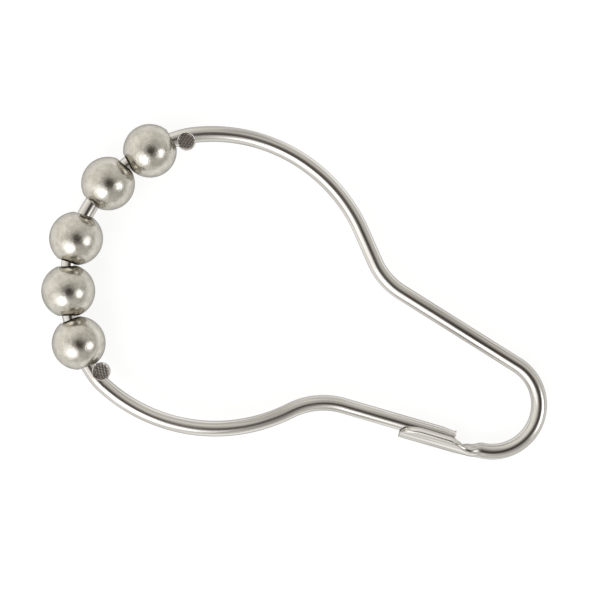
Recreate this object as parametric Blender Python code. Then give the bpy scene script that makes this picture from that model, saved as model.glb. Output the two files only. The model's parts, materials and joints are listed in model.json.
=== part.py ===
"""A roller shower curtain hook: one bent wire that carries five hollow roller beads.

The wire is drawn first in its own flat plane. There X is the long axis, from the middle of the
rod loop to the middle of the curtain loop, Y is across it, and Z is out of the plane. The wire
runs from its free end, round the rod loop and the curtain loop, to a trough that catches the
free end. The finished hook is then laid down as it comes to rest on a table.
"""
import math

import bmesh
import bpy
from mathutils import Matrix, Vector

# Wire
WIRE_DIAMETER = 0.00238
END_CHAMFER = 0.00012
WIRE_SIDES = 24  # a multiple of four, shared between the skins of the trough
BEND_SAG = 0.000012
CLOSEST_RINGS = 0.00006
SHARP_EDGE = math.radians(35.0)

# Rod loop, where the hook rolls on the rail
ROD_LOOP_RADIUS = 0.0231
UPPER_EASE = 0.00115
LOWER_EASE = 0.0014
STOP_BEND_RADIUS = 0.008
UPPER_STOP_BEND = math.radians(6.71)
LOWER_STOP_BEND = math.radians(12.22)

# Curtain loop and the two legs
LOOP_SPACING = 0.04387
CURTAIN_LOOP_RADIUS = 0.00703
SHOULDER_RADIUS = 0.01013
SHOULDER_HEIGHT = 0.00986
SHOULDER_FLANK = 0.00492
THROAT_RADIUS = 0.01088
THROAT_DEPTH = 0.00892
THROAT_FLANK = 0.00065

# Trough that catches the free end
STRIP_THICKNESS = 0.00066
SEAT_GAP = 0.00012
FLOOR_RADIUS = 0.0007
FLOOR_DROP = 0.00029
WALL_ANGLE = math.radians(40.0)
WALL_LENGTH = 0.00113
CURL_RADIUS = 0.00138
CURL_ANGLE = math.radians(75.0)
LIP_BEVEL = 0.0005
LIP_RISE = 0.0009
LIP_DROP = 0.0003
TONGUE_ROUND = 0.0032
TONGUE_FALL = 0.0020
NECK_START = 0.0002
NECK_LENGTH = 0.0014
NECK_HEIGHT = 0.00185
NECK_DROP = 0.00019
TROUGH_EASE = 0.0024
TROUGH_LENGTH = 0.0082
FREE_END_GAP = 0.0001
TROUGH_STEPS = 12
NECK_STEPS = 6

# Roller beads
BEAD_COUNT = 5
BEADS_ABOVE_SLACK = 2
BEAD_DIAMETER = 0.0080
BEAD_WALL = 0.0004
BEAD_PLAY = 0.00062
BEAD_SHIFT = 0.00018
BEAD_GAP = 0.00006
ROW_SLACK = 0.00156
ROW_MIDDLE = math.radians(182.98)
BEAD_SIDES = 24
BEAD_RINGS = 10

# Stops pressed out of the wire at both ends of the bead row
STOP_RADIUS = 0.00134
UPPER_STOP_OFFSET = 0.00077
LOWER_STOP_OFFSET = 0.00116
STOP_RIM_HEIGHT = 0.00115
STOP_RIM_WIDTH = 0.00018
STOP_WEB = 0.00085
UPPER_END_PLAY = 0.0004
LOWER_END_PLAY = 0.00008
STOP_SIDES = 32

WIRE_RADIUS = WIRE_DIAMETER / 2
BEAD_RADIUS = BEAD_DIAMETER / 2
BEAD_HOLE = WIRE_DIAMETER + BEAD_PLAY
NECK_WIDTH = WIRE_DIAMETER ** 2 / NECK_HEIGHT
OUTER_BEND = FLOOR_RADIUS + STRIP_THICKNESS
BEND_DROP = (WIRE_RADIUS + SEAT_GAP - FLOOR_RADIUS) / math.cos(WALL_ANGLE)
SEAT_OFFSET = BEND_DROP + OUTER_BEND - WIRE_RADIUS - FLOOR_DROP


def direction(angle):
    return Vector((math.cos(angle), math.sin(angle)))


def right_of(heading):
    """The side of the path that faces the middle of both loops."""
    return Vector((math.sin(heading), -math.cos(heading)))


def angle_of(vector):
    return math.atan2(vector.y, vector.x)


class Peg:
    """A bending peg: the wire goes round it clockwise (sense -1) or the other way (sense 1)."""

    def __init__(self, centre, radius, sense):
        self.centre = centre
        self.radius = radius
        self.sense = sense

    def point(self, heading):
        return self.centre + self.sense * self.radius * right_of(heading)


def tangent_heading(first, second):
    """Heading of the straight run that leaves one peg and meets the next."""
    across = second.centre - first.centre
    offset = first.sense * first.radius - second.sense * second.radius
    run = math.sqrt(across.length_squared - offset * offset)
    return angle_of(across) + math.atan2(offset, run)


def bead_hole_depth():
    """Distance from a bead's middle to the plane of either hole's rim."""
    return math.sqrt(BEAD_RADIUS ** 2 - (BEAD_HOLE / 2) ** 2)


def bead_circle():
    """Radius of the circle on which the beads' middles lie.

    The wire curves through both holes of a bead, so the bead's middle lies inside the wire's
    own circle, from where it has slipped a little outwards within its play.
    """
    return math.sqrt(ROD_LOOP_RADIUS ** 2 - bead_hole_depth() ** 2) + BEAD_SHIFT


def bead_pitch():
    """Angle between two beads whose rims nearly meet, seen from the middle of the rod loop.

    The rims meet at the inner side of the loop, where a rim point lies hole_angle off the bore.
    """
    hole_angle = math.asin(BEAD_HOLE / BEAD_DIAMETER)
    half = BEAD_RADIUS / bead_circle()
    for _ in range(20):
        reach = BEAD_RADIUS * math.cos(max(0.0, hole_angle - half)) + BEAD_GAP / 2
        half = math.asin(reach / bead_circle())
    return 2 * half


def stop_to_bead(offset, play):
    """Angle between a stop and the end bead, whose hole rim keeps its end play to the ear.

    The near point of the rim, the ear's middle and the middle of the loop form a triangle.
    """
    rim = Vector((bead_circle() - BEAD_HOLE / 2, bead_hole_depth()))
    middle = ROD_LOOP_RADIUS - offset
    gap = STOP_RADIUS + play
    between = (rim.length_squared + middle ** 2 - gap ** 2) / (2 * rim.length * middle)
    return angle_of(rim) + math.acos(between)


def row_angles():
    """Angles of the upper stop, of every bead and of the lower stop, round the rod loop."""
    angles = [0.0, stop_to_bead(UPPER_STOP_OFFSET, UPPER_END_PLAY)]
    for index in range(1, BEAD_COUNT):
        slack = ROW_SLACK / bead_circle() if index == BEADS_ABOVE_SLACK else 0.0
        angles.append(angles[-1] + bead_pitch() + slack)
    angles.append(angles[-1] + stop_to_bead(LOWER_STOP_OFFSET, LOWER_END_PLAY))
    first = ROW_MIDDLE - angles[-1] / 2
    angles = [first + angle for angle in angles]
    return angles[0], angles[1:-1], angles[-1]


def bending_pegs():
    """All pegs, in the order in which the wire meets them after its free end."""
    upper, _, lower = row_angles()
    rod = Peg(Vector((0.0, 0.0)), ROD_LOOP_RADIUS, -1)
    step = ROD_LOOP_RADIUS - STOP_BEND_RADIUS
    upper_stop = Peg(step * direction(upper), STOP_BEND_RADIUS, -1)
    lower_stop = Peg(step * direction(lower), STOP_BEND_RADIUS, -1)
    over = ROD_LOOP_RADIUS + UPPER_EASE
    over_centre = upper_stop.centre - (over - STOP_BEND_RADIUS) * direction(upper - UPPER_STOP_BEND)
    upper_arc = Peg(over_centre, over, -1)
    under = ROD_LOOP_RADIUS + LOWER_EASE
    under_centre = lower_stop.centre - (under - STOP_BEND_RADIUS) * direction(lower + LOWER_STOP_BEND)
    lower_arc = Peg(under_centre, under, -1)
    shoulder = beside(upper_arc, SHOULDER_RADIUS, SHOULDER_FLANK, SHOULDER_HEIGHT + SHOULDER_RADIUS)
    throat = beside(lower_arc, THROAT_RADIUS, THROAT_FLANK, -THROAT_DEPTH - THROAT_RADIUS)
    curtain = Peg(Vector((LOOP_SPACING, 0.0)), CURTAIN_LOOP_RADIUS, -1)
    return throat, lower_arc, lower_stop, rod, upper_stop, upper_arc, shoulder, curtain


def beside(arc, radius, flank, height):
    """A peg at a given height, joined to an arc by a crossing straight run of length flank."""
    reach = math.hypot(arc.radius + radius, flank)
    along = math.sqrt(reach ** 2 - (height - arc.centre.y) ** 2)
    return Peg(Vector((arc.centre.x + along, height)), radius, 1)


class WirePath:
    """Points along the middle of the wire, each with its heading."""

    def __init__(self):
        self.stations = []

    def add(self, point, heading):
        if not self.stations or (self.stations[-1][0] - point).length > CLOSEST_RINGS:
            self.stations.append((point, heading))

    def bend(self, peg, start, end):
        """Follow a peg from one heading to another."""
        turn = (end - start) * peg.sense % math.tau * peg.sense
        step = 2 * math.acos(1 - BEND_SAG / peg.radius)
        count = max(1, math.ceil(abs(turn) / step))
        for index in range(count + 1):
            heading = start + turn * index / count
            self.add(peg.point(heading), heading)


def wire_path():
    """The whole route, and where the trough begins on it."""
    throat, lower_arc, lower_stop, rod, upper_stop, upper_arc, shoulder, curtain = bending_pegs()
    upper, _, lower = row_angles()
    seat = Peg(curtain.centre, CURTAIN_LOOP_RADIUS - SEAT_OFFSET, -1)
    free = tangent_heading(seat, throat)
    crossing = tangent_heading(throat, lower_arc)
    rising = tangent_heading(upper_arc, shoulder)
    leg = tangent_heading(shoulder, curtain)
    quarter = math.pi / 2
    path = WirePath()
    free_end = seat.point(free) + (trough_start() + FREE_END_GAP) * direction(free)
    path.add(free_end, free)
    path.bend(throat, free, crossing)
    path.bend(lower_arc, crossing, lower + LOWER_STOP_BEND - quarter)
    path.bend(lower_stop, lower + LOWER_STOP_BEND - quarter, lower - quarter)
    path.bend(rod, lower - quarter, upper - quarter)
    path.bend(upper_stop, upper - quarter, upper - UPPER_STOP_BEND - quarter)
    path.bend(upper_arc, upper - UPPER_STOP_BEND - quarter, rising)
    path.bend(shoulder, rising, leg)
    path.bend(curtain, leg, free)
    return path.stations, curtain.point(free), free


def trough_start():
    """Distance from the end of the curtain loop to the fully formed trough."""
    return NECK_START + NECK_LENGTH + TROUGH_EASE


def side_angles():
    """Angles round a section from the bottom, down one side, up the other and over the top."""
    return [math.pi / 2 - math.tau * index / WIRE_SIDES for index in range(WIRE_SIDES)]


def round_section(radius):
    return [Vector((radius * math.sin(a), -radius * math.cos(a))) for a in side_angles()]


def neck_section():
    """The squashed wire between the curtain loop and the trough, a little below its underside."""
    half = NECK_HEIGHT / 2
    middle = half - WIRE_RADIUS - NECK_DROP
    return [Vector((NECK_WIDTH / 2 * math.sin(a), middle - half * math.cos(a))) for a in side_angles()]


def strip_point(distance, depth):
    """A point of the bent strip and its heading there.

    The distance is walked on the outer skin from the middle of the floor: round the bend, up the
    straight wall and round the curl of the lip. The depth is measured inwards from that skin.
    """
    bend = min(distance, OUTER_BEND * WALL_ANGLE)
    wall = min(distance - bend, WALL_LENGTH)
    angle = bend / OUTER_BEND + (distance - bend - wall) / CURL_RADIUS
    first = bend / OUTER_BEND
    centre = Vector((0.0, SEAT_OFFSET - BEND_DROP))
    point = centre - OUTER_BEND * inward(first) + wall * direction(WALL_ANGLE)
    point += CURL_RADIUS * (inward(first) - inward(angle))
    return point + depth * inward(angle), direction(angle)


def inward(angle):
    """Unit vector from the outer skin into the strip, where the strip climbs at this angle."""
    return Vector((-math.sin(angle), math.cos(angle)))


def full_strip():
    """Half the strip's width, measured on its outer skin."""
    return OUTER_BEND * WALL_ANGLE + WALL_LENGTH + CURL_RADIUS * (CURL_ANGLE - WALL_ANGLE)


def strip_width(place):
    """Half-width of the strip along the trough: lower at the neck, rounded off at the open end."""
    low = max(0.0, 1 - place / LIP_RISE)
    past = max(0.0, (place - TROUGH_LENGTH + TONGUE_ROUND) / TONGUE_ROUND)
    fall = 1 - math.sqrt(max(0.0, 1 - past * past))
    return full_strip() - LIP_DROP * low * low - TONGUE_FALL * fall


def mirrored(points):
    return [Vector((-point.x, point.y)) for point in reversed(points)]


def half_skin(width, depth, count):
    """Points from the lip down to the middle of the floor, at one depth in the strip."""
    return [strip_point(width * (1 - index / count), depth)[0] for index in range(count + 1)]


def trough_section(place):
    """The strip bent to a channel round the seated free end: outer skin, then inner skin."""
    width = strip_width(place)
    outer = half_skin(width, 0.0, WIRE_SIDES // 4)
    inner = half_skin(width, STRIP_THICKNESS, WIRE_SIDES // 4 - 2)
    edge, heading = strip_point(width, STRIP_THICKNESS)
    inner.insert(0, edge + heading * LIP_BEVEL * width / full_strip())
    around = outer + mirrored(outer)[1:]
    return around + list(reversed(inner + mirrored(inner)[1:]))


def blend(first, second, share):
    eased = share * share * (3 - 2 * share)
    return [a.lerp(b, eased) for a, b in zip(first, second)]


def trough_sections():
    """Distances from the curtain loop, each with its section."""
    sections = []
    wire = round_section(WIRE_RADIUS)
    neck = neck_section()
    for index in range(NECK_STEPS + 1):
        share = index / NECK_STEPS
        sections.append((NECK_START + NECK_LENGTH * share, blend(wire, neck, share)))
    for index in range(1, NECK_STEPS):
        share = index / NECK_STEPS
        place = NECK_START + NECK_LENGTH + TROUGH_EASE * share
        sections.append((place, blend(neck, trough_section(0.0), share)))
    for index in range(TROUGH_STEPS + 1):
        share = index / TROUGH_STEPS
        place = TROUGH_LENGTH * share * (2 - share)
        sections.append((trough_start() + place, trough_section(place)))
    return sections


def add_ring(mesh, point, heading, section):
    """One ring of the wire: section x runs out of the plane, section y to the loop's middle."""
    side = right_of(heading)
    ring = []
    for corner in section:
        place = point + side * corner.y
        ring.append(mesh.verts.new((place.x, place.y, corner.x)))
    return ring


def join_rings(mesh, first, second):
    for index, vert in enumerate(first):
        following = (index + 1) % len(first)
        mesh.faces.new((vert, first[following], second[following], second[index]))


def build_wire(material):
    """The bent wire with its trough, before its stops are pressed."""
    stations, trough_root, free = wire_path()
    mesh = bmesh.new()
    wire = round_section(WIRE_RADIUS)
    start, heading = stations[0]
    rings = [add_ring(mesh, start, heading, round_section(WIRE_RADIUS - END_CHAMFER))]
    rings.append(add_ring(mesh, start + direction(heading) * END_CHAMFER, heading, wire))
    for point, heading in stations[1:]:
        rings.append(add_ring(mesh, point, heading, wire))
    for place, section in trough_sections():
        rings.append(add_ring(mesh, trough_root + direction(free) * place, free, section))
    for first, second in zip(rings, rings[1:]):
        join_rings(mesh, first, second)
    mesh.faces.new(rings[0])
    mesh.faces.new(rings[-1])
    return place_piece("hook_wire", finished(mesh, "hook_wire", material))


def stop_places():
    """The middle of each pressed stop, inside the bend of the wire."""
    upper, _, lower = row_angles()
    return {
        "upper_stop": (ROD_LOOP_RADIUS - UPPER_STOP_OFFSET) * direction(upper),
        "lower_stop": (ROD_LOOP_RADIUS - LOWER_STOP_OFFSET) * direction(lower),
    }


def disc(name, middle, radius, low, high):
    """An upright round slug in the wire's plane, used to add or remove metal."""
    mesh = bmesh.new()
    bmesh.ops.create_cone(mesh, cap_ends=True, segments=STOP_SIDES, radius1=radius, radius2=radius,
                          depth=high - low)
    bmesh.ops.translate(mesh, verts=mesh.verts, vec=(middle.x, middle.y, (high + low) / 2))
    tool = place_piece(name, finished(mesh, name))
    tool.hide_render = True
    tool.display_type = 'WIRE'
    return tool


def apply_tool(piece, tool, operation):
    cut = piece.modifiers.new(tool.name, 'BOOLEAN')
    cut.operation = operation
    cut.solver = 'EXACT'
    cut.object = tool


def press_stops(wire):
    """Press a round ear out of the inner side of the wire at both ends of the bead row."""
    tools = []
    for name, middle in stop_places().items():
        ear = disc(name + "_ear", middle, STOP_RADIUS, -STOP_RIM_HEIGHT / 2, STOP_RIM_HEIGHT / 2)
        apply_tool(wire, ear, 'UNION')
        tools.append(ear)
        punch_radius = STOP_RADIUS - STOP_RIM_WIDTH
        for side, sign in (("front", 1), ("back", -1)):
            near = sign * STOP_WEB / 2
            far = sign * WIRE_DIAMETER
            punch = disc(name + "_punch_" + side, middle, punch_radius, min(near, far), max(near, far))
            apply_tool(wire, punch, 'DIFFERENCE')
            tools.append(punch)
    return tools


def bead_profile():
    """Closed outline of the shell, as distance along the bore and distance from it."""
    inner_radius = BEAD_RADIUS - BEAD_WALL
    outer_edge = math.asin(BEAD_HOLE / 2 / BEAD_RADIUS)
    inner_edge = math.asin(BEAD_HOLE / 2 / inner_radius)
    outline = []
    for index in range(BEAD_RINGS + 1):
        angle = outer_edge + (math.pi - 2 * outer_edge) * index / BEAD_RINGS
        outline.append((BEAD_RADIUS * math.cos(angle), BEAD_RADIUS * math.sin(angle)))
    inside = BEAD_RINGS - 2
    for index in range(inside + 1):
        angle = inner_edge + (math.pi - 2 * inner_edge) * (1 - index / inside)
        outline.append((inner_radius * math.cos(angle), inner_radius * math.sin(angle)))
    return outline


def bead_mesh(material):
    """A thin ball with two holes, turned about its bore along X."""
    mesh = bmesh.new()
    outline = bead_profile()
    rings = []
    for index in range(BEAD_SIDES):
        angle = math.tau * index / BEAD_SIDES
        ring = [mesh.verts.new((x, r * math.cos(angle), r * math.sin(angle))) for x, r in outline]
        rings.append(ring)
    for first, second in zip(rings, rings[1:] + rings[:1]):
        join_rings(mesh, first, second)
    return finished(mesh, "roller_bead", material)


def build_beads(material):
    """Five beads threaded on the wire, each with its origin on its own bore."""
    data = bead_mesh(material)
    beads = []
    for number, angle in enumerate(row_angles()[1], start=1):
        bead = place_piece("roller_bead_%d" % number, data)
        place = bead_circle() * direction(angle)
        bead.location = (place.x, place.y, 0.0)
        bead.rotation_euler = (0.0, 0.0, angle + math.pi / 2)
        beads.append(bead)
    return beads


def finished(mesh, name, material=None):
    """Mesh data with smooth faces and sharp edges, from a bmesh that is then let go."""
    bmesh.ops.recalc_face_normals(mesh, faces=mesh.faces)
    data = bpy.data.meshes.new(name)
    mesh.to_mesh(data)
    mesh.free()
    data.shade_smooth()
    data.set_sharp_from_angle(angle=SHARP_EDGE)
    if material:
        data.materials.append(material)
    return data


def place_piece(name, data):
    piece = bpy.data.objects.new(name, data)
    bpy.context.collection.objects.link(piece)
    return piece


def metal(name, colour, roughness):
    material = bpy.data.materials.new(name)
    material.use_nodes = True
    shader = material.node_tree.nodes["Principled BSDF"]
    shader.inputs["Base Color"].default_value = (*colour, 1.0)
    shader.inputs["Roughness"].default_value = roughness
    shader.inputs["Metallic"].default_value = 1.0
    return material


def world_points(piece):
    """Corners of a piece as it is evaluated, in world space."""
    seen = piece.evaluated_get(bpy.context.evaluated_depsgraph_get())
    return [seen.matrix_world @ vert.co for vert in seen.data.vertices]


def resting_frame(wire):
    """Turn of the flat hook that brings it down on its two end beads and on the trough's lip."""
    angles = row_angles()[1]
    first = bead_circle() * direction(angles[0])
    last = bead_circle() * direction(angles[-1])
    edge = (last - first).normalized()
    outward = Vector((-edge.y, edge.x))
    tilt = math.pi / 2
    for point in world_points(wire):
        ahead = outward.dot(Vector((point.x, point.y)) - first)
        reach = math.hypot(ahead, point.z)
        if ahead > 0 and reach > BEAD_RADIUS:
            touching = math.asin(BEAD_RADIUS / reach) - math.atan2(-point.z, ahead)
            tilt = min(tilt, touching)
    return Matrix.Rotation(tilt, 4, Vector((-edge.x, -edge.y, 0.0)))


def lay_down(wire, beads):
    """Lay the hook at rest, with the middle of its footprint at the origin."""
    frame = bpy.data.objects.new("hook_frame", None)
    bpy.context.collection.objects.link(frame)
    turn = resting_frame(wire)
    for piece in [wire, *beads]:
        piece.parent = frame
    frame.rotation_euler = turn.to_euler()
    bpy.context.view_layer.update()
    points = [point for piece in [wire, *beads] for point in world_points(piece)]
    low = Vector([min(point[axis] for point in points) for axis in range(3)])
    high = Vector([max(point[axis] for point in points) for axis in range(3)])
    frame.location = (-(low.x + high.x) / 2, -(low.y + high.y) / 2, -low.z)
    return frame


def main():
    for item in list(bpy.data.objects):
        bpy.data.objects.remove(item, do_unlink=True)
    wire_metal = metal("bright_nickel_wire", (0.62, 0.59, 0.56), 0.22)
    bead_metal = metal("satin_nickel_bead", (0.66, 0.62, 0.57), 0.32)
    wire = build_wire(wire_metal)
    tools = press_stops(wire)
    beads = build_beads(bead_metal)
    frame = lay_down(wire, beads)
    for tool in tools:
        tool.parent = frame


main()
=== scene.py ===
"""Looks of the roller shower curtain hook: fine wire and bead surfaces, metals, light and camera."""
import json
import math

import bmesh
import bpy
from mathutils import Matrix, Vector


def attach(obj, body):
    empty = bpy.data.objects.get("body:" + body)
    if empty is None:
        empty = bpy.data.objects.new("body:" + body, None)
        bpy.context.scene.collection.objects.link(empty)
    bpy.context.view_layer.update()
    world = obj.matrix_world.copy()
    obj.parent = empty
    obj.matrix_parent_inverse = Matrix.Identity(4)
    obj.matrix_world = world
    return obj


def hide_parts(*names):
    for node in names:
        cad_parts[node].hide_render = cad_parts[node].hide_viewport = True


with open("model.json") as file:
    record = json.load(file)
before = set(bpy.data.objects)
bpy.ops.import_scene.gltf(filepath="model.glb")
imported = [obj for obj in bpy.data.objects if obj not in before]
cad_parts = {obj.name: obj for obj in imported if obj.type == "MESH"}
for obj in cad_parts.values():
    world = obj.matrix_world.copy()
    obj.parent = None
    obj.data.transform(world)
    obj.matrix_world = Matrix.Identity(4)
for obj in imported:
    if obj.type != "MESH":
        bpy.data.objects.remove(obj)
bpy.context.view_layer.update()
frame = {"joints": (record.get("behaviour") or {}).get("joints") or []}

# Sizes of the hook as it is built, in millimetres, but for its neck, which starts earlier here
# and blends in over a longer stretch
WIRE_DIAMETER = 2.38
ROD_LOOP_RADIUS = 23.1
UPPER_EASE = 1.15
LOWER_EASE = 1.4
STOP_BEND_RADIUS = 8.0
UPPER_STOP_BEND = math.radians(6.71)
LOWER_STOP_BEND = math.radians(12.22)
LOOP_SPACING = 43.87
CURTAIN_LOOP_RADIUS = 7.03
SHOULDER_RADIUS = 10.13
SHOULDER_HEIGHT = 9.86
SHOULDER_FLANK = 4.92
THROAT_RADIUS = 10.88
THROAT_DEPTH = 8.92
THROAT_FLANK = 0.65
STRIP_THICKNESS = 0.66
SEAT_GAP = 0.12
FLOOR_RADIUS = 0.7
FLOOR_DROP = 0.29
WALL_ANGLE = math.radians(40.0)
WALL_LENGTH = 1.13
CURL_RADIUS = 1.38
CURL_ANGLE = math.radians(75.0)
LIP_BEVEL = 0.5
LIP_RISE = 0.9
LIP_DROP = 0.3
TONGUE_ROUND = 3.2
TONGUE_FALL = 2.0
NECK_START = -0.3
NECK_LENGTH = 1.9
NECK_HEIGHT = 1.85
NECK_DROP = 0.19
TROUGH_EASE = 2.4
TROUGH_LENGTH = 8.2
FREE_END_GAP = 0.1
BEAD_DIAMETER = 8.0
BEAD_WALL = 0.4
BEAD_HOLE = 3.0
STOP_RADIUS = 1.34
UPPER_STOP_OFFSET = 0.77
LOWER_STOP_OFFSET = 1.16
STOP_RIM_HEIGHT = 1.15
STOP_RIM_WIDTH = 0.18
STOP_WEB = 0.85
UPPER_STOP_ANGLE = math.radians(127.746)
LOWER_STOP_ANGLE = math.radians(238.214)
BEAD_COUNT = 5

# Fineness and rounding of the shown surfaces, which stay just inside the facets of the built ones
WIRE_SIDES = 96
SKIN_INSET = 0.012
BEAD_INSET = 0.022
BEND_SAG = 0.0015
STRAIGHT_STEP = 2.0
STOP_STEP = 0.03
STOP_ZONE = 1.12 * STOP_RADIUS
PRESSED_ZONE = 1.15 * STOP_RADIUS
STOP_SAMPLES = 400
TROUGH_STEP = 0.12
TONGUE_RINGS = 48
STRIP_SAMPLES = 60
CURVE_STEPS = 8
END_RINGS = 6
EDGE_ROUND = 0.18
LIP_ROUND = 0.15
END_ROUND = 0.10
STOP_EDGE = 0.22
STOP_FILLET = 0.12
STOP_STEEP = 0.07
BEAD_SIDES = 128
BEAD_RINGS = 72
RIM_ROUND = 0.08
SHARP_ANGLE = math.radians(50.0)
TINY = 1e-12

# Metals: reflection straight on where the plate is duller and brighter, and at grazing angles.
# A haze is a pair of roughnesses, and a depth is in metres.
EDGE_TINT = 0.48
WIRE_DARK = (0.40, 0.377, 0.347)
WIRE_LIGHT = (0.9, 0.873, 0.835)
WIRE_HAZE = (0.14, 0.21)
LINE_DEPTH = 0.000025
PRESSED_HAZE = (0.24, 0.34)
PRESSED_DARK = (0.29, 0.262, 0.24)
PRESSED_LIGHT = (0.45, 0.41, 0.375)
# A painted highlight on the stops' rims: a near-white colour on their inner part, full on one side of
# the wire up to a share of its radius and fading out over a further share
RIM_HIGHLIGHT_COLOUR = (0.94, 0.92, 0.88)
RIM_HIGHLIGHT_REACH = 0.45
RIM_HIGHLIGHT_FADE = 0.5
SERRATION = 0.42
RIDGE_WANDER = 1.2
RIDGE_WANDER_SCALE = 2.0
RIDGE_SHARE = 0.52
RIDGE_TURNS = (math.radians(70.0), math.radians(-49.0))
BEAD_DARK = (0.49, 0.46, 0.405)
BEAD_LIGHT = (0.7, 0.673, 0.608)
BEAD_HAZE = (0.15, 0.24)
RIPPLE_DEPTH = 0.00003
# Painted shade: a near-black band on each bead round its holes, full within the second distance from
# the bore's axis and gone by the first, with its roughnesses
HOLE_SHADE_COLOUR = (0.03, 0.026, 0.022)
HOLE_SHADE_REACH = (1.74, 1.60)
HOLE_SHADE_HAZE = (0.4, 0.5)

# Noises as how many features a millimetre holds on each axis, with their detail and roughness.
# On the wire the first axis runs along it. A share is the height of a fine noise on a coarse one,
# the shift gives each bead its own part of the noise, and most values lie within the spread.
HAZE_NOISE = ((0.08, 6.0, 6.0), 2.0, 0.55)
STREAK_NOISE = ((0.05, 2.2, 2.2), 3.0, 0.6)
GRAIN_NOISE = ((18.0, 18.0, 18.0), 2.0, 0.55)
GRAIN_SHARE = 0.02
CLOUD_NOISE = ((0.8, 0.8, 0.8), 4.0, 0.7)
SILK_NOISE = ((14.0, 14.0, 14.0), 3.0, 0.55)
SILK_SHARE = 0.12
RIPPLE_NOISE = ((2.6, 2.6, 2.6), 3.0, 0.55)
NOISE_SHIFT = 20.0
NOISE_SPREAD = (0.3, 0.7)

# What Blender's nodes fix: the wave texture's period at scale 1, and where a Mix node has its
# two colours and their result
WAVE_PERIOD = math.pi / 10
FIRST_COLOUR = 6
SECOND_COLOUR = 7
MIXED_COLOUR = 2

# The photograph's view: straight down, with the hook's long axis turned down to the right. It is
# this wide at this height. Lengths are in metres, and those of the lens and sensor in millimetres.
PHOTO_TURN = math.radians(23.62)
VIEW_CENTRE = Vector((-0.00237, 0.00298, 0.0))
VIEW_WIDTH = 0.0877
VIEW_HEIGHT = 0.0036
LENS = 100.0
SENSOR = 36.0
NEAREST = 0.01
FARTHEST = 10.0

# Lamps by azimuth and zenith in the photograph and angular radius, in degrees, and radiance
LAMP_DISTANCE = 0.8
LAMPS = (
    ("large_lamp", -120.0, 48.0, 18.5, 1.35),
    ("large_lamp_halo", -128.0, 48.0, 30.0, 0.5),
    ("small_lamp", -14.0, 54.5, 14.0, 1.9),
    ("small_lamp_halo", -14.0, 54.5, 19.0, 0.5),
)
LAMP_COLOUR = (0.97, 1.0, 1.05)

# The floor: its paint, which takes the shadow, what it adds where it is seen or mirrored, and half
# its side in metres
FLOOR_PAINT = (0.3, 0.3, 0.3)
FLOOR_GLOW = 0.8
FLOOR_HALF = 1.5

# Colours of the tent by angle from the middle of its dark opening, where that middle and the
# brightest side are, and how uneven the tent is from side to side and by its folds
TENT = (
    (90.0, (0.84, 0.83, 0.79)),
    (70.0, (0.83, 0.82, 0.78)),
    (52.0, (0.76, 0.75, 0.71)),
    (36.0, (0.66, 0.65, 0.62)),
    (27.5, (0.46, 0.445, 0.43)),
    (19.5, (0.25, 0.232, 0.215)),
    (12.0, (0.11, 0.097, 0.083)),
    (6.0, (0.06, 0.05, 0.039)),
    (0.0, (0.05, 0.041, 0.031)),
)
OPENING = (-25.0, 11.5)
BRIGHT_SIDE = 157.0
SIDE_SHARE = 0.30
TENT_FOLDS = (0.86, 1.14)
FOLD_NOISE = ((5.0, 5.0, 5.0), 3.0, 0.55)

MM = 0.001
QUARTER = math.pi / 2
RADIUS = WIRE_DIAMETER / 2 - SKIN_INSET
NECK_WIDTH = WIRE_DIAMETER ** 2 / NECK_HEIGHT
OUTER_BEND = FLOOR_RADIUS + STRIP_THICKNESS
BEND_DROP = (WIRE_DIAMETER / 2 + SEAT_GAP - FLOOR_RADIUS) / math.cos(WALL_ANGLE)
SEAT_OFFSET = BEND_DROP + OUTER_BEND - WIRE_DIAMETER / 2 - FLOOR_DROP
FULL_STRIP = OUTER_BEND * WALL_ANGLE + WALL_LENGTH + CURL_RADIUS * (CURL_ANGLE - WALL_ANGLE)
TROUGH_START = NECK_START + NECK_LENGTH + TROUGH_EASE


def direction(angle):
    """Unit vector along an angle."""
    return Vector((math.cos(angle), math.sin(angle)))


def right_of(heading):
    """Unit vector square to a heading, on its right."""
    return Vector((math.sin(heading), -math.cos(heading)))


def tangent_heading(first, second):
    """Heading of the straight run from one bending peg (centre, radius, sense) to the next."""
    across = second[0] - first[0]
    offset = first[2] * first[1] - second[2] * second[1]
    run = math.sqrt(across.length_squared - offset * offset)
    return math.atan2(across.y, across.x) + math.atan2(offset, run)


def peg_point(peg, heading):
    """Where the wire touches a peg when it runs along a heading."""
    return peg[0] + peg[2] * peg[1] * right_of(heading)


def peg_beside(arc, radius, flank, height):
    """Peg at a height, with a straight flank of a given length between it and the arc."""
    reach = math.hypot(arc[1] + radius, flank)
    along = math.sqrt(reach ** 2 - (height - arc[0].y) ** 2)
    return Vector((arc[0].x + along, height)), radius, 1


class Route:
    """The middle line of the wire as runs of constant curvature, measured by length."""

    def __init__(self, start, heading):
        self.runs = []
        self.point = start
        self.heading = heading
        self.length = 0.0

    def place(self, run, along):
        """Point and heading at a distance along one run."""
        start, point, heading, curve, _ = run
        ahead = along - start
        if curve == 0.0:
            return point + direction(heading) * ahead, heading
        turned = heading + curve * ahead
        shift = Vector((math.sin(turned) - math.sin(heading), math.cos(heading) - math.cos(turned)))
        return point + shift / curve, turned

    def add(self, length, curve):
        run = (self.length, self.point, self.heading, curve, length)
        self.runs.append(run)
        self.point, self.heading = self.place(run, self.length + length)
        self.length += length

    def straight_to(self, point):
        self.add((point - self.point).length, 0.0)

    def bend(self, peg, end):
        turn = (end - self.heading) * peg[2] % math.tau
        self.add(turn * peg[1], peg[2] / peg[1])

    def at(self, along):
        for run in self.runs:
            if along <= run[0] + run[4]:
                break
        return self.place(run, along)


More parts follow.
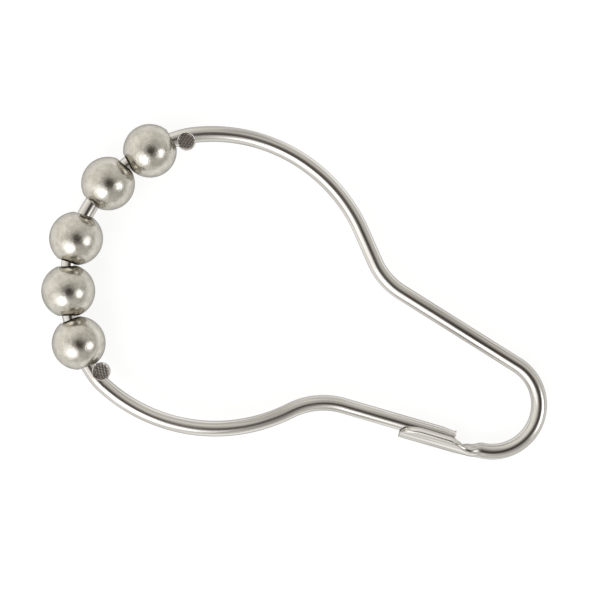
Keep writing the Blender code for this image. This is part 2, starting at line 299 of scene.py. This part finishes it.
def wire_route():
    """The same bends as the built hook, from its free end to the far end of its trough."""
    rod = (Vector((0.0, 0.0)), ROD_LOOP_RADIUS, -1)
    step = ROD_LOOP_RADIUS - STOP_BEND_RADIUS
    upper_stop = (step * direction(UPPER_STOP_ANGLE), STOP_BEND_RADIUS, -1)
    lower_stop = (step * direction(LOWER_STOP_ANGLE), STOP_BEND_RADIUS, -1)
    over = ROD_LOOP_RADIUS + UPPER_EASE
    under = ROD_LOOP_RADIUS + LOWER_EASE
    upper_end = UPPER_STOP_ANGLE - UPPER_STOP_BEND
    lower_end = LOWER_STOP_ANGLE + LOWER_STOP_BEND
    upper_arc = (upper_stop[0] - (over - STOP_BEND_RADIUS) * direction(upper_end), over, -1)
    lower_arc = (lower_stop[0] - (under - STOP_BEND_RADIUS) * direction(lower_end), under, -1)
    shoulder = peg_beside(upper_arc, SHOULDER_RADIUS, SHOULDER_FLANK, SHOULDER_HEIGHT + SHOULDER_RADIUS)
    throat = peg_beside(lower_arc, THROAT_RADIUS, THROAT_FLANK, -THROAT_DEPTH - THROAT_RADIUS)
    curtain = (Vector((LOOP_SPACING, 0.0)), CURTAIN_LOOP_RADIUS, -1)
    seat = (curtain[0], CURTAIN_LOOP_RADIUS - SEAT_OFFSET, -1)
    free = tangent_heading(seat, throat)
    crossing = tangent_heading(throat, lower_arc)
    rising = tangent_heading(upper_arc, shoulder)
    leg = tangent_heading(shoulder, curtain)
    start = peg_point(seat, free) + (TROUGH_START + FREE_END_GAP) * direction(free)
    route = Route(start, free)
    route.straight_to(peg_point(throat, free))
    route.bend(throat, crossing)
    route.straight_to(peg_point(lower_arc, crossing))
    route.bend(lower_arc, lower_end - QUARTER)
    route.bend(lower_stop, LOWER_STOP_ANGLE - QUARTER)
    marks = {"lower_stop": route.length}
    route.bend(rod, UPPER_STOP_ANGLE - QUARTER)
    marks["upper_stop"] = route.length
    route.bend(upper_stop, upper_end - QUARTER)
    route.bend(upper_arc, rising)
    route.straight_to(peg_point(shoulder, rising))
    route.bend(shoulder, leg)
    route.straight_to(peg_point(curtain, leg))
    route.bend(curtain, free)
    marks["trough"] = route.length
    route.add(TROUGH_START + TROUGH_LENGTH, 0.0)
    return route, marks


def stations(route, marks):
    """Distances along the wire at which it gets a ring: closer together in bends and at details."""
    places = set()
    for start, _, _, curve, length in route.runs:
        step = STRAIGHT_STEP
        if curve:
            step = 2 * math.acos(1 - BEND_SAG * abs(curve)) / abs(curve)
        count = max(1, math.ceil(length / step))
        places.update(start + length * index / count for index in range(count))
    stops = (marks["lower_stop"], marks["upper_stop"])
    zones = [(stop - STOP_ZONE, stop + STOP_ZONE, STOP_STEP) for stop in stops]
    tongue = route.length - TONGUE_ROUND
    zones.append((marks["trough"] + NECK_START, tongue, TROUGH_STEP))
    for low, high, step in zones:
        places = {place for place in places if not low - step < place < high + step}
        count = math.ceil((high - low) / step)
        places.update(low + (high - low) * index / count for index in range(count + 1))
    places = {place for place in places if place <= tongue}
    quarter_turns = (QUARTER * index / TONGUE_RINGS for index in range(1, TONGUE_RINGS + 1))
    places.update(tongue + TONGUE_ROUND * math.sin(turn) for turn in quarter_turns)
    return sorted(place for place in places if 2 * EDGE_ROUND < place <= route.length)


def resample(points, count):
    """The same line through count + 1 points at even distances."""
    lengths = [0.0]
    for first, second in zip(points, points[1:]):
        lengths.append(lengths[-1] + (second - first).length)
    result = []
    segment = 0
    for index in range(count + 1):
        wanted = lengths[-1] * index / count
        while segment < len(points) - 2 and lengths[segment + 1] < wanted:
            segment += 1
        span = max(lengths[segment + 1] - lengths[segment], TINY)
        share = min(1.0, max(0.0, (wanted - lengths[segment]) / span))
        result.append(points[segment].lerp(points[segment + 1], share))
    return result


def whole_ring(half):
    """A closed section from its half at z above 0, which runs from the underside to the top."""
    return half + [Vector((-point.x, point.y)) for point in reversed(half[1:-1])]


def round_half(radius):
    """Half of a round section."""
    count = WIRE_SIDES // 2
    angles = [math.pi * index / count for index in range(count + 1)]
    return [Vector((radius * math.sin(a), -radius * math.cos(a))) for a in angles]


def ease(share):
    """A smooth step from 0 to 1."""
    share = min(1.0, max(0.0, share))
    return share * share * (3 - 2 * share)


def blended_height(first, second, width):
    """The larger of two heights, with the corner between them filled."""
    near = max(width - abs(first - second), 0.0) / width
    return max(first, second) + near * near * width / 4


def stop_half(point, heading, middle):
    """Half a section through a pressed stop: round wire, raised rim and the flat left by the punch."""
    side = right_of(heading)
    across = (middle - point).dot(side)
    ahead = (middle - point).dot(direction(heading))
    reach = STOP_RADIUS ** 2 - ahead ** 2
    end = max(RADIUS, across + math.sqrt(reach)) if reach > 0 else RADIUS
    punch = STOP_RADIUS - STOP_RIM_WIDTH
    outline = []
    for index in range(STOP_SAMPLES + 1):
        n = -RADIUS + (end + RADIUS) * (1 - math.cos(math.pi * index / STOP_SAMPLES)) / 2
        away = math.hypot(n - across, ahead)
        wire = math.sqrt(max(0.0, RADIUS ** 2 - n * n))
        beyond = min(1.0, max(0.0, (away - STOP_RADIUS + STOP_EDGE) / STOP_EDGE))
        ear = STOP_RIM_HEIGHT / 2 * math.sqrt(1 - beyond * beyond) if away < STOP_RADIUS else 0.0
        height = blended_height(wire, ear, STOP_FILLET) if min(wire, ear) > 0 else max(wire, ear)
        if height > STOP_WEB / 2:
            pressed = ease((away - punch + STOP_STEEP) / (2 * STOP_STEEP))
            height = STOP_WEB / 2 + (height - STOP_WEB / 2) * pressed
        outline.append(Vector((height, n)))
    outline[0].x = 0.0
    outline[-1].x = 0.0
    return resample(outline, WIRE_SIDES // 2)


def neck_half():
    """Half of the squashed wire between the curtain loop and the trough."""
    count = WIRE_SIDES // 2
    half = NECK_HEIGHT / 2
    middle = half - WIRE_DIAMETER / 2 - NECK_DROP
    angles = [math.pi * index / count for index in range(count + 1)]
    return [Vector((NECK_WIDTH / 2 * math.sin(a), middle - half * math.cos(a))) for a in angles]


def inward(angle):
    """Unit vector from the outer skin into the strip, where the strip climbs at this angle."""
    return Vector((-math.sin(angle), math.cos(angle)))


def strip_point(distance, depth):
    """A point of the bent strip, as built: out from the middle of the floor on the outer skin."""
    bend = min(distance, OUTER_BEND * WALL_ANGLE)
    wall = min(distance - bend, WALL_LENGTH)
    first = bend / OUTER_BEND
    angle = first + (distance - bend - wall) / CURL_RADIUS
    point = Vector((0.0, SEAT_OFFSET - BEND_DROP)) - OUTER_BEND * inward(first)
    point += wall * direction(WALL_ANGLE) + CURL_RADIUS * (inward(first) - inward(angle))
    return point + depth * inward(angle), direction(angle)


def strip_width(place):
    """Half-width of the strip along the trough: lower at the neck, rounded off at the open end."""
    low = max(0.0, 1 - place / LIP_RISE)
    past = max(0.0, (place - TROUGH_LENGTH + TONGUE_ROUND) / TONGUE_ROUND)
    fall = 1 - math.sqrt(max(0.0, 1 - past * past))
    return FULL_STRIP - LIP_DROP * low * low - TONGUE_FALL * fall


def bezier(start, corner, end):
    """Points of the curve from start to end that leaves and arrives in line with the corner."""
    steps = [index / CURVE_STEPS for index in range(CURVE_STEPS + 1)]
    return [start * (1 - t) ** 2 + corner * 2 * t * (1 - t) + end * t * t for t in steps]


def rounded_corner(before, corner, after, reach):
    """A short curve in place of a corner, reaching the same way along both of its sides."""
    start = corner + (before - corner).normalized() * reach
    end = corner + (after - corner).normalized() * reach
    return bezier(start, corner, end)


def trough_half(place, inset):
    """Half the strip round the seated free end: outer skin, bevelled lip, inner skin."""
    width = strip_width(place) - inset
    inner_depth = STRIP_THICKNESS - inset
    bevel = LIP_BEVEL * width / FULL_STRIP
    outward = [width * index / STRIP_SAMPLES for index in range(STRIP_SAMPLES + 1)]
    outer = [strip_point(distance, inset)[0] for distance in outward]
    inner = [strip_point(distance, inner_depth)[0] for distance in outward]
    tip = inner[-1] + strip_point(width, inner_depth)[1] * bevel
    face = (outer[-1] + tip) / 2
    reach = min(LIP_ROUND, (tip - outer[-1]).length / 2)
    outer_round = rounded_corner(outer[-2], outer[-1], tip, reach)
    inner_round = rounded_corner(outer[-1], tip, inner[-1], reach)
    kept = max(1, STRIP_SAMPLES - math.ceil(reach / width * STRIP_SAMPLES))
    first = resample(outer[:kept + 1] + outer_round + [face], WIRE_SIDES // 4)
    second = resample([face] + inner_round + inner[::-1], WIRE_SIDES // 4)
    return first + second[1:]


def mix(first, second, share):
    """A section part of the way from one to another, with a smooth start and end."""
    eased = ease(share)
    return [a.lerp(b, eased) for a, b in zip(first, second)]


def trough_or_neck(ahead, inset=0.0):
    """Half a section at a distance past the curtain loop."""
    if ahead < NECK_START + NECK_LENGTH:
        return mix(round_half(RADIUS), neck_half(), (ahead - NECK_START) / NECK_LENGTH)
    if ahead < TROUGH_START:
        share = (ahead - NECK_START - NECK_LENGTH) / TROUGH_EASE
        return mix(neck_half(), trough_half(0.0, 0.0), share)
    return trough_half(min(ahead - TROUGH_START, TROUGH_LENGTH), inset)


def wire_rings():
    """Every ring of the wire as (distance along, point, heading, section)."""
    route, marks = wire_route()
    stops = {
        "lower_stop": (ROD_LOOP_RADIUS - LOWER_STOP_OFFSET) * direction(LOWER_STOP_ANGLE),
        "upper_stop": (ROD_LOOP_RADIUS - UPPER_STOP_OFFSET) * direction(UPPER_STOP_ANGLE),
    }
    rings = []
    turns = [QUARTER * index / END_RINGS for index in range(END_RINGS + 1)]
    for turn in reversed(turns):
        place = EDGE_ROUND * (1 - math.sin(turn))
        section = round_half(RADIUS - EDGE_ROUND * (1 - math.cos(QUARTER - turn)))
        rings.append((place, *route.at(place), whole_ring(section)))
    for place in stations(route, marks):
        point, heading = route.at(place)
        section = None
        for name, middle in stops.items():
            if abs(place - marks[name]) < PRESSED_ZONE:
                section = stop_half(point, heading, middle)
        if place > marks["trough"] + NECK_START and section is None:
            section = trough_or_neck(place - marks["trough"])
        rings.append((place, point, heading, whole_ring(section or round_half(RADIUS))))
    last = rings.pop()
    ahead = route.length - marks["trough"]
    for turn in turns:
        inset = END_ROUND * (1 - math.cos(turn))
        place = last[0] - END_ROUND * (1 - math.sin(turn))
        rings.append((place, *route.at(place), whole_ring(trough_or_neck(ahead, inset))))
    return rings, stops


def hook_to_world():
    """Where the flat hook lies: found from the first, middle and last bead bores of the frame."""
    bores = {joint["name"]: Vector(joint["pos_m"]) / MM for joint in frame["joints"]}
    numbers = (1, (BEAD_COUNT + 1) // 2, BEAD_COUNT)
    first, middle, last = (bores["bead_%d_spin" % number] for number in numbers)
    up = (middle - first).cross(last - first).normalized()
    up = up if up.z > 0 else -up
    centre = circle_centre(first, middle, last)
    along = Vector((1.0, 0.0, 0.0))
    along = (along - up * along.dot(up)).normalized()
    matrix = Matrix((along, up.cross(along), up)).transposed().to_4x4()
    matrix.translation = centre
    return Matrix.Diagonal((MM, MM, MM, 1.0)) @ matrix


def circle_centre(a, b, c):
    """The middle of the circle through three points."""
    ab, ac = b - a, c - a
    normal = ab.cross(ac)
    to_centre = normal.cross(ab) * ac.length_squared + ac.cross(normal) * ab.length_squared
    return a + to_centre / (2 * normal.length_squared)


def link(name, mesh, body, cad_node, material):
    """Make a piece that stands for a node of the frame and moves with its body."""
    bmesh.ops.recalc_face_normals(mesh, faces=mesh.faces)
    data = bpy.data.meshes.new(name)
    mesh.to_mesh(data)
    mesh.free()
    data.shade_smooth()
    data.set_sharp_from_angle(angle=SHARP_ANGLE)
    data.materials.append(material)
    piece = bpy.data.objects.new(name, data)
    bpy.context.collection.objects.link(piece)
    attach(piece, body)
    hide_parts(cad_node)
    return piece


def close_end(mesh, ring):
    """Close a ring with strips that join each point to its partner across the section."""
    half = len(ring) // 2
    quarter = half // 2
    for side in (1, -1):
        for index in range(quarter):
            outer = ring[side * index % len(ring)], ring[side * (index + 1) % len(ring)]
            inner = ring[side * (half - index - 1) % len(ring)], ring[side * (half - index) % len(ring)]
            corners = []
            for vert in (*outer, *inner):
                if vert not in corners:
                    corners.append(vert)
            if len(corners) > 2:
                mesh.faces.new(corners)


def build_wire(material):
    """The whole wire as one skin, which keeps its straightened space and where its stops are pressed
    flat, with a painted highlight on their rims."""
    place = hook_to_world()
    rings, stops = wire_rings()
    mesh = bmesh.new()
    drawn = mesh.verts.layers.float_vector.new("drawn")
    pressed = mesh.verts.layers.float.new("pressed")
    painted_rim_highlight = mesh.verts.layers.float.new("painted_rim_highlight")
    made = []
    for along, point, heading, section in rings:
        side = right_of(heading)
        ring = []
        for corner in section:
            spot = point + side * corner.y
            vert = mesh.verts.new(place @ Vector((spot.x, spot.y, corner.x)))
            vert[drawn] = Vector((along, corner.y, corner.x))
            near = min((spot - middle).length for middle in stops.values())
            vert[pressed] = 1.0 - ease((near - STOP_RADIUS + STOP_RIM_WIDTH) / STOP_STEEP)
            # Painted highlight on the inner part of each stop's rim, faded out towards one side of the
            # wire
            beyond = ease((near - STOP_RADIUS + STOP_RIM_WIDTH / 2) / STOP_STEEP)
            free = ease((corner.y / RADIUS - RIM_HIGHLIGHT_REACH) / RIM_HIGHLIGHT_FADE)
            vert[painted_rim_highlight] = (1.0 - vert[pressed] - beyond) * (1.0 - free)
            ring.append(vert)
        made.append(ring)
    for first, second in zip(made, made[1:]):
        for index, vert in enumerate(first):
            following = (index + 1) % len(first)
            mesh.faces.new((vert, first[following], second[following], second[index]))
    close_end(mesh, made[0])
    close_end(mesh, made[-1])
    return link("wire_skin", mesh, "hook", "hook_wire", material)


def bead_outline():
    """Closed outline of a bead's shell: outer ball, rounded hole rims, inner ball."""
    outer = BEAD_DIAMETER / 2 - BEAD_INSET
    inner = BEAD_DIAMETER / 2 - BEAD_WALL
    start = math.asin((BEAD_HOLE / 2 + RIM_ROUND) / outer)
    back = math.asin((BEAD_HOLE / 2 + RIM_ROUND / 2) / inner)
    points = []
    for index in range(BEAD_RINGS + 1):
        angle = start + (math.pi - 2 * start) * index / BEAD_RINGS
        points.append(Vector((outer * math.cos(angle), outer * math.sin(angle))))
    left_rim = rim_curve(points[-1], Vector((inner * math.cos(math.pi - back), inner * math.sin(back))))
    inside = []
    for index in range(BEAD_RINGS // 2 + 1):
        angle = math.pi - back - (math.pi - 2 * back) * index / (BEAD_RINGS // 2)
        inside.append(Vector((inner * math.cos(angle), inner * math.sin(angle))))
    right_rim = [Vector((-point.x, point.y)) for point in reversed(left_rim)]
    return points + left_rim + inside + right_rim


def rim_curve(outer, inner):
    """The rounded edge of a hole: a curve that touches the hole's radius between the two skins."""
    middle = Vector(((outer.x + inner.x) / 2, BEAD_HOLE - (outer.y + inner.y) / 2))
    return bezier(outer, middle, inner)[1:-1]


def build_bead(number, material):
    """One bead on its own bore."""
    joint = next(j for j in frame["joints"] if j["name"] == "bead_%d_spin" % number)
    axis = Vector(joint["axis"]).normalized()
    turn = axis.to_track_quat('X', 'Z').to_matrix().to_4x4()
    place = Matrix.Translation(Vector(joint["pos_m"])) @ turn @ Matrix.Diagonal((MM, MM, MM, 1.0))
    mesh = bmesh.new()
    own = mesh.verts.layers.float_vector.new("drawn")
    outline = bead_outline()
    rings = []
    for index in range(BEAD_SIDES):
        angle = math.tau * index / BEAD_SIDES
        ring = []
        for point in outline:
            spot = Vector((point.x, point.y * math.cos(angle), point.y * math.sin(angle)))
            vert = mesh.verts.new(place @ spot)
            vert[own] = spot + Vector((NOISE_SHIFT * number, 0.0, 0.0))
            ring.append(vert)
        rings.append(ring)
    for first, second in zip(rings, rings[1:] + rings[:1]):
        for index, vert in enumerate(first):
            following = (index + 1) % len(first)
            mesh.faces.new((vert, first[following], second[following], second[index]))
    name = "bead_shell_%d" % number
    return link(name, mesh, "bead_%d" % number, "roller_bead_%d" % number, material)


def node(tree, kind, **values):
    """A new node, with values for its inputs and its settings by their names."""
    made = tree.nodes.new(kind)
    for key, value in values.items():
        if key in made.inputs:
            made.inputs[key].default_value = value
        else:
            setattr(made, key, value)
    return made


def stretched_noise(tree, source, stretch, detail, rough):
    """Noise in the space of the source, scaled by a factor on each axis."""
    mapping = node(tree, "ShaderNodeMapping", Scale=stretch)
    tree.links.new(source, mapping.inputs["Vector"])
    noise = node(tree, "ShaderNodeTexNoise", Scale=1.0, Detail=detail, Roughness=rough)
    tree.links.new(mapping.outputs["Vector"], noise.inputs["Vector"])
    return noise.outputs["Fac"]


def ranged(tree, source, low, high, new_low, new_high):
    """A number taken from one range to another and kept within it."""
    spread = node(tree, "ShaderNodeMapRange")
    spread.inputs["From Min"].default_value = low
    spread.inputs["From Max"].default_value = high
    spread.inputs["To Min"].default_value = new_low
    spread.inputs["To Max"].default_value = new_high
    tree.links.new(source, spread.inputs["Value"])
    return spread.outputs["Result"]


def coloured(tree, noise, *colours):
    """From the first colour to the second over the spread of a noise."""
    ramp = node(tree, "ShaderNodeValToRGB")
    for step, place, colour in zip(ramp.color_ramp.elements, NOISE_SPREAD, colours):
        step.position = place
        step.color = (*colour, 1.0)
    tree.links.new(noise, ramp.inputs["Fac"])
    return ramp.outputs["Color"]


def metal_base(name):
    """A metal, and the space of the piece in which its noises are made."""
    material = bpy.data.materials.new(name)
    material.use_nodes = True
    tree = material.node_tree
    shader = tree.nodes["Principled BSDF"]
    shader.inputs["Metallic"].default_value = 1.0
    shader.inputs["Specular Tint"].default_value = (EDGE_TINT, EDGE_TINT, EDGE_TINT, 1.0)
    space = node(tree, "ShaderNodeAttribute", attribute_name="drawn")
    return material, tree, shader, space.outputs["Vector"]


def add_bump(tree, shader, height, depth):
    """Relief of a height from 0 to 1 over a depth in metres."""
    bump = node(tree, "ShaderNodeBump", Distance=depth, Strength=1.0)
    tree.links.new(height, bump.inputs["Height"])
    tree.links.new(bump.outputs["Normal"], shader.inputs["Normal"])


def wire_metal():
    """Bright drawn wire: streaks along its length, and a painted highlight on the rims and scored flats
    on its stops.
    """
    material, tree, shader, space = metal_base("bright_nickel_wire_look")
    haze = stretched_noise(tree, space, *HAZE_NOISE)
    streaks = stretched_noise(tree, space, *STREAK_NOISE)
    grain = stretched_noise(tree, space, *GRAIN_NOISE)
    colour = coloured(tree, streaks, WIRE_DARK, WIRE_LIGHT)
    pressed = node(tree, "ShaderNodeAttribute", attribute_name="pressed").outputs["Fac"]
    painted_rim_highlight = node(tree, "ShaderNodeAttribute", attribute_name="painted_rim_highlight").outputs["Fac"]
    # Painted highlight on the stops' rims
    colour = with_painted_light(tree, painted_rim_highlight, colour, RIM_HIGHLIGHT_COLOUR)
    ridges = serration(tree, space)
    scored = coloured(tree, ridges, PRESSED_DARK, PRESSED_LIGHT)
    tree.links.new(blended(tree, pressed, colour, scored), shader.inputs["Base Color"])
    rough = ranged(tree, haze, *NOISE_SPREAD, *WIRE_HAZE)
    dull = ranged(tree, grain, *NOISE_SPREAD, *PRESSED_HAZE)
    tree.links.new(chosen(tree, pressed, rough, dull), shader.inputs["Roughness"])
    height = chosen(tree, pressed, overlaid(tree, grain, GRAIN_SHARE, streaks), ridges)
    add_bump(tree, shader, height, LINE_DEPTH)
    return material


def overlaid(tree, fine, share, coarse):
    """A share of a fine height on top of a coarse one."""
    both = node(tree, "ShaderNodeMath", operation='MULTIPLY_ADD')
    tree.links.new(fine, both.inputs[0])
    both.inputs[1].default_value = share
    tree.links.new(coarse, both.inputs[2])
    return both.outputs["Value"]


def chosen(tree, factor, first, second):
    """A number that goes from the first to the second as the factor goes from 0 to 1."""
    choose = node(tree, "ShaderNodeMix", data_type='FLOAT')
    tree.links.new(factor, choose.inputs["Factor"])
    tree.links.new(first, choose.inputs["A"])
    tree.links.new(second, choose.inputs["B"])
    return choose.outputs["Result"]


def blended(tree, factor, first, second):
    """A colour that goes from the first to the second as the factor goes from 0 to 1."""
    mixed = node(tree, "ShaderNodeMix", data_type='RGBA')
    tree.links.new(factor, mixed.inputs["Factor"])
    tree.links.new(first, mixed.inputs[FIRST_COLOUR])
    tree.links.new(second, mixed.inputs[SECOND_COLOUR])
    return mixed.outputs[MIXED_COLOUR]


def with_painted_light(tree, factor, colour, painted_colour):
    """The colour of the plate, turned where the factor is 1 to a painted colour: here a painted
    highlight on the stops' rims and painted shade round the bead holes.
    """
    mixed = node(tree, "ShaderNodeMix", data_type='RGBA')
    tree.links.new(factor, mixed.inputs["Factor"])
    tree.links.new(colour, mixed.inputs[FIRST_COLOUR])
    mixed.inputs[SECOND_COLOUR].default_value = (*painted_colour, 1.0)
    return mixed.outputs[MIXED_COLOUR]


def serration(tree, space):
    """Crossed ridges that the toothed punch leaves on the flat of a stop."""
    both = node(tree, "ShaderNodeMath", operation='ADD')
    for index, turn in enumerate(RIDGE_TURNS):
        mapping = node(tree, "ShaderNodeMapping", Rotation=(0.0, 0.0, turn))
        tree.links.new(space, mapping.inputs["Vector"])
        scale = WAVE_PERIOD / SERRATION
        ridges = node(tree, "ShaderNodeTexWave", Scale=scale, Distortion=RIDGE_WANDER)
        ridges.inputs["Detail Scale"].default_value = RIDGE_WANDER_SCALE
        tree.links.new(mapping.outputs["Vector"], ridges.inputs["Vector"])
        tree.links.new(ridges.outputs["Fac"], both.inputs[index])
    deep = node(tree, "ShaderNodeMath", operation='MULTIPLY')
    tree.links.new(both.outputs["Value"], deep.inputs[0])
    deep.inputs[1].default_value = RIDGE_SHARE
    return deep.outputs["Value"]


def painted_hole_shade(tree, space):
    """Mask of the painted shade round a bead's hole: 1 at the hole's edge, 0 a little way out on its
    skin.
    """
    across = node(tree, "ShaderNodeVectorMath", operation='MULTIPLY')
    across.inputs[1].default_value = (0.0, 1.0, 1.0)
    tree.links.new(space, across.inputs[0])
    away = node(tree, "ShaderNodeVectorMath", operation='LENGTH')
    tree.links.new(across.outputs["Vector"], away.inputs[0])
    return ranged(tree, away.outputs["Value"], *HOLE_SHADE_REACH, 0.0, 1.0)


def bead_metal():
    """Satin plated bead: cloudy plate with a silky grain over the faint ripple that tumbling leaves,
    and a near-black painted shade round its holes."""
    material, tree, shader, space = metal_base("satin_nickel_bead_look")
    cloud = stretched_noise(tree, space, *CLOUD_NOISE)
    silk = stretched_noise(tree, space, *SILK_NOISE)
    ripple = stretched_noise(tree, space, *RIPPLE_NOISE)
    colour = coloured(tree, cloud, BEAD_DARK, BEAD_LIGHT)
    # Painted shade round the holes: a near-black colour with more roughness
    edge = painted_hole_shade(tree, space)
    tree.links.new(with_painted_light(tree, edge, colour, HOLE_SHADE_COLOUR), shader.inputs["Base Color"])
    rough = ranged(tree, cloud, *NOISE_SPREAD, *BEAD_HAZE)
    dull = ranged(tree, silk, *NOISE_SPREAD, *HOLE_SHADE_HAZE)
    tree.links.new(chosen(tree, edge, rough, dull), shader.inputs["Roughness"])
    add_bump(tree, shader, overlaid(tree, silk, SILK_SHARE, ripple), RIPPLE_DEPTH)
    return material


def photo_direction(azimuth, zenith):
    """World direction of something seen in the photograph's upright frame, angles in degrees."""
    a = math.radians(azimuth) + PHOTO_TURN
    z = math.radians(zenith)
    return Vector((math.cos(a) * math.sin(z), math.sin(a) * math.sin(z), math.cos(z)))


def place_camera():
    """A camera above the hook, turned as in the photograph."""
    data = bpy.data.cameras.new("camera")
    camera = bpy.data.objects.new("camera", data)
    bpy.context.collection.objects.link(camera)
    data.lens = LENS
    data.sensor_width = SENSOR
    data.clip_start = NEAREST
    data.clip_end = FARTHEST
    distance = VIEW_WIDTH * LENS / SENSOR
    camera.location = VIEW_CENTRE + Vector((0.0, 0.0, VIEW_HEIGHT + distance))
    camera.rotation_euler = (0.0, 0.0, PHOTO_TURN)
    bpy.context.scene.camera = camera


def soft_lamp(name, azimuth, zenith, spread, radiance):
    """A round lamp that fills a cone of the surroundings, seen from the hook, evenly."""
    radius = LAMP_DISTANCE * math.tan(math.radians(spread))
    data = bpy.data.lights.new(name, 'AREA')
    data.shape = 'DISK'
    data.size = 2 * radius
    data.energy = radiance * math.pi * math.pi * radius ** 2
    data.color = LAMP_COLOUR
    lamp = bpy.data.objects.new(name, data)
    bpy.context.collection.objects.link(lamp)
    towards = photo_direction(azimuth, zenith)
    lamp.location = towards * LAMP_DISTANCE
    lamp.rotation_euler = towards.to_track_quat('Z', 'Y').to_euler()


def build_floor():
    """A plain white table that stays white to the camera but keeps the hook's shadow."""
    mesh = bmesh.new()
    bmesh.ops.create_grid(mesh, x_segments=1, y_segments=1, size=FLOOR_HALF)
    data = bpy.data.meshes.new("floor")
    mesh.to_mesh(data)
    mesh.free()
    floor = bpy.data.objects.new("floor", data)
    bpy.context.collection.objects.link(floor)
    material = bpy.data.materials.new("floor_white")
    material.use_nodes = True
    tree = material.node_tree
    tree.nodes.clear()
    path = node(tree, "ShaderNodeLightPath")
    paint = node(tree, "ShaderNodeBsdfDiffuse", Color=(*FLOOR_PAINT, 1.0))
    glow = node(tree, "ShaderNodeEmission", Strength=FLOOR_GLOW)
    both = node(tree, "ShaderNodeAddShader")
    tree.links.new(paint.outputs["BSDF"], both.inputs[0])
    tree.links.new(glow.outputs["Emission"], both.inputs[1])
    seen = path.outputs["Is Camera Ray"]
    for kind in ("Is Glossy Ray", "Is Transmission Ray"):
        either = node(tree, "ShaderNodeMath", operation='MAXIMUM')
        tree.links.new(seen, either.inputs[0])
        tree.links.new(path.outputs[kind], either.inputs[1])
        seen = either.outputs["Value"]
    choose = node(tree, "ShaderNodeMixShader")
    tree.links.new(seen, choose.inputs["Fac"])
    tree.links.new(paint.outputs["BSDF"], choose.inputs[1])
    tree.links.new(both.outputs["Shader"], choose.inputs[2])
    output = node(tree, "ShaderNodeOutputMaterial")
    tree.links.new(choose.outputs["Shader"], output.inputs["Surface"])
    data.materials.append(material)


def aimed(tree, source, azimuth, zenith):
    """Cosine of the angle between the looked-up direction and one given in degrees."""
    dot = node(tree, "ShaderNodeVectorMath", operation='DOT_PRODUCT')
    tree.links.new(source, dot.inputs[0])
    dot.inputs[1].default_value = photo_direction(azimuth, zenith)
    return dot.outputs["Value"]


def build_world():
    """Studio surroundings: a dark opening overhead and a pale tent round it, dimmer on one side and
    uneven by its folds."""
    world = bpy.data.worlds.new("studio")
    bpy.context.scene.world = world
    world.use_nodes = True
    tree = world.node_tree
    tree.nodes.clear()
    where = node(tree, "ShaderNodeTexCoord").outputs["Generated"]
    ramp = node(tree, "ShaderNodeValToRGB")
    steps = ramp.color_ramp.elements
    steps[0].position = 0.0
    steps[0].color = (*TENT[0][1], 1.0)
    steps[1].position = 1.0
    steps[1].color = (*TENT[-1][1], 1.0)
    for zenith, colour in TENT[1:-1]:
        step = steps.new(math.cos(math.radians(zenith)))
        step.color = (*colour, 1.0)
    tree.links.new(aimed(tree, where, *OPENING), ramp.inputs["Fac"])
    sideways = aimed(tree, where, BRIGHT_SIDE, 90.0)
    side = ranged(tree, sideways, -1.0, 1.0, 1.0 - SIDE_SHARE, 1.0 + SIDE_SHARE)
    folds = stretched_noise(tree, where, *FOLD_NOISE)
    uneven = node(tree, "ShaderNodeMath", operation='MULTIPLY')
    tree.links.new(side, uneven.inputs[0])
    tree.links.new(ranged(tree, folds, *NOISE_SPREAD, *TENT_FOLDS), uneven.inputs[1])
    around = node(tree, "ShaderNodeBackground")
    tree.links.new(ramp.outputs["Color"], around.inputs["Color"])
    tree.links.new(uneven.outputs["Value"], around.inputs["Strength"])
    output = node(tree, "ShaderNodeOutputWorld")
    tree.links.new(around.outputs["Background"], output.inputs["Surface"])


def main():
    wire_look = wire_metal()
    bead_look = bead_metal()
    build_wire(wire_look)
    for number in range(1, BEAD_COUNT + 1):
        build_bead(number, bead_look)
    build_floor()
    build_world()
    for name, azimuth, zenith, spread, radiance in LAMPS:
        soft_lamp(name, azimuth, zenith, spread, radiance)
    place_camera()
    bpy.context.scene.view_settings.view_transform = 'Standard'


main()
